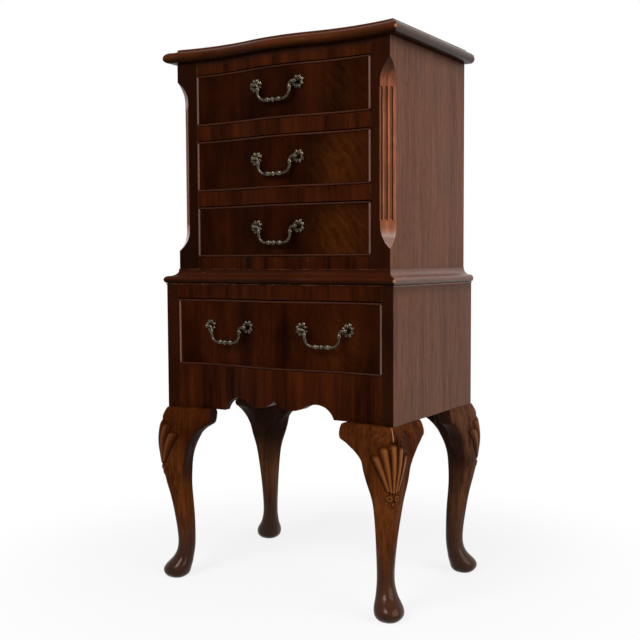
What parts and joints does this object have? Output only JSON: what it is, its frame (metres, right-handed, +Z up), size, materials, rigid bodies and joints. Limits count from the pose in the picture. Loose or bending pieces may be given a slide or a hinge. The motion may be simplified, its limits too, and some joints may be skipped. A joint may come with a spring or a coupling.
{
  "type": "highboy chest of drawers",
  "caption": "Petite serpentine chest-on-stand with cockbeaded sliding drawers, swinging bail pulls, fluted canted corners, shaped apron and cabriole legs with pad feet",
  "frame": {"origin": "on the floor, midway between the feet", "axes": "+Z up, the drawers open towards -Y, +X to the viewer's right"},
  "size_m": [0.515, 0.366, 0.996],
  "materials": {
    "veneer": "dark figured mahogany veneer, satin polish",
    "rail": "cross-grained mahogany, satin polish",
    "panel": "straight-grained mahogany, worn polish",
    "moulding": "solid mahogany, satin polish",
    "leg": "solid mahogany, rubbed satin polish",
    "bead": "thin mahogany bead, polished",
    "lining": "plain secondary wood, unpolished",
    "backboard": "plain thin boards, unpolished",
    "brass": "antique dark brass"
  },
  "bodies": {
    "case": {"apron": "rail", "corner_post_left": "rail", "corner_post_right": "rail", "drawer_runners": "lining", "knee_brackets": "leg", "leg_back_left": "leg", "leg_back_right": "leg", "leg_front_left": "leg", "leg_front_right": "leg", "lower_back": "backboard", "lower_side_left": "panel", "lower_side_right": "panel", "lower_stile_left": "rail", "lower_stile_right": "rail", "lower_top_rail": "rail", "top_board": "moulding", "upper_back": "backboard", "upper_bottom_rail": "rail", "upper_divider_rails": "rail", "upper_side_left": "panel", "upper_side_right": "panel", "upper_top_rail": "rail", "waist_board": "lining", "waist_moulding_front": "moulding", "waist_moulding_left": "moulding", "waist_moulding_right": "moulding"},
    "lower_drawer": {"lower_drawer_back": "lining", "lower_drawer_bottom": "lining", "lower_drawer_cockbead": "bead", "lower_drawer_front": "veneer", "lower_drawer_handle_posts": "brass", "lower_drawer_side_left": "lining", "lower_drawer_side_right": "lining"},
    "lower_drawer_bail_left": {"lower_drawer_bail_left": "brass"},
    "lower_drawer_bail_right": {"lower_drawer_bail_right": "brass"},
    "upper_drawer_1": {"upper_drawer_1_back": "lining", "upper_drawer_1_bottom": "lining", "upper_drawer_1_cockbead": "bead", "upper_drawer_1_front": "veneer", "upper_drawer_1_handle_posts": "brass", "upper_drawer_1_side_left": "lining", "upper_drawer_1_side_right": "lining"},
    "upper_drawer_1_bail": {"upper_drawer_1_bail": "brass"},
    "upper_drawer_2": {"upper_drawer_2_back": "lining", "upper_drawer_2_bottom": "lining", "upper_drawer_2_cockbead": "bead", "upper_drawer_2_front": "veneer", "upper_drawer_2_handle_posts": "brass", "upper_drawer_2_side_left": "lining", "upper_drawer_2_side_right": "lining"},
    "upper_drawer_2_bail": {"upper_drawer_2_bail": "brass"},
    "upper_drawer_3": {"upper_drawer_3_back": "lining", "upper_drawer_3_bottom": "lining", "upper_drawer_3_cockbead": "bead", "upper_drawer_3_front": "veneer", "upper_drawer_3_handle_posts": "brass", "upper_drawer_3_side_left": "lining", "upper_drawer_3_side_right": "lining"},
    "upper_drawer_3_bail": {"upper_drawer_3_bail": "brass"}
  },
  "joints": [
    {"name": "upper_drawer_1_slide", "type": "slide", "parent": "case", "child": "upper_drawer_1", "axis": [0, -1, 0], "range_m": [0, 0.2]},
    {"name": "upper_drawer_1_bail_swing", "type": "hinge", "parent": "upper_drawer_1", "child": "upper_drawer_1_bail", "pos_m": [0, -0.15141, 0.91149], "axis": [-1, 0, 0], "range_deg": [0, 165]},
    {"name": "upper_drawer_2_slide", "type": "slide", "parent": "case", "child": "upper_drawer_2", "axis": [0, -1, 0], "range_m": [0, 0.2]},
    {"name": "upper_drawer_2_bail_swing", "type": "hinge", "parent": "upper_drawer_2", "child": "upper_drawer_2_bail", "pos_m": [0, -0.15141, 0.78299], "axis": [-1, 0, 0], "range_deg": [0, 165]},
    {"name": "upper_drawer_3_slide", "type": "slide", "parent": "case", "child": "upper_drawer_3", "axis": [0, -1, 0], "range_m": [0, 0.2]},
    {"name": "upper_drawer_3_bail_swing", "type": "hinge", "parent": "upper_drawer_3", "child": "upper_drawer_3_bail", "pos_m": [0, -0.15141, 0.66199], "axis": [-1, 0, 0], "range_deg": [0, 165]},
    {"name": "lower_drawer_slide", "type": "slide", "parent": "case", "child": "lower_drawer", "axis": [0, -1, 0], "range_m": [0, 0.21]},
    {"name": "lower_drawer_bail_right_swing", "type": "hinge", "parent": "lower_drawer", "child": "lower_drawer_bail_right", "pos_m": [0.10294, -0.16069, 0.48251], "axis": [-0.9965, -0.0841, 0], "range_deg": [0, 165]},
    {"name": "lower_drawer_bail_left_swing", "type": "hinge", "parent": "lower_drawer", "child": "lower_drawer_bail_left", "pos_m": [-0.10294, -0.16069, 0.48251], "axis": [-0.9965, 0.0841, 0], "range_deg": [0, 165]}
  ]
}
